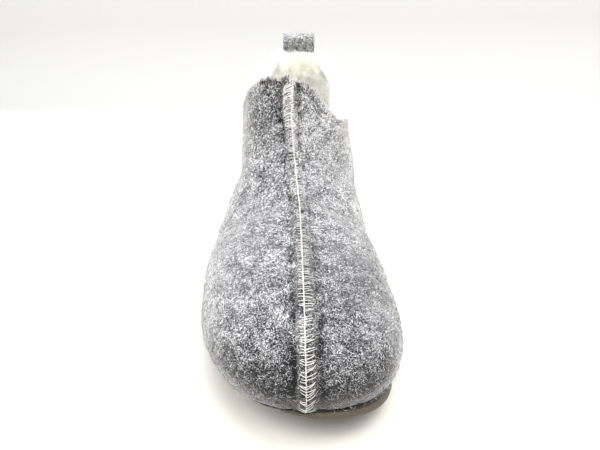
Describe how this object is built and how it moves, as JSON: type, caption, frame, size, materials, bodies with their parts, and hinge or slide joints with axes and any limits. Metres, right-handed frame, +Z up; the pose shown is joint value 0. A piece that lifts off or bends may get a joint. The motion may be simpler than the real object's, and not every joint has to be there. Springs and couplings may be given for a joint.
{
  "type": "slipper boot",
  "caption": "Ankle-high felt slipper boot for the right foot, with a raised front seam, a heel pull loop and a thin rubber sole.",
  "frame": {"origin": "on the floor, below the middle of the part's box", "axes": "+Z up, toe along -Y, medial (big toe) side towards +X"},
  "size_m": [0.0982, 0.2646, 0.165],
  "materials": {
    "grey_felt": "matte",
    "taupe_rubber": "matte",
    "cream_fleece": "matte"
  },
  "bodies": {
    "root": {"upper": "grey_felt", "outsole": "taupe_rubber", "insole": "cream_fleece", "pull_loop": "grey_felt"}
  },
  "joints": []
}
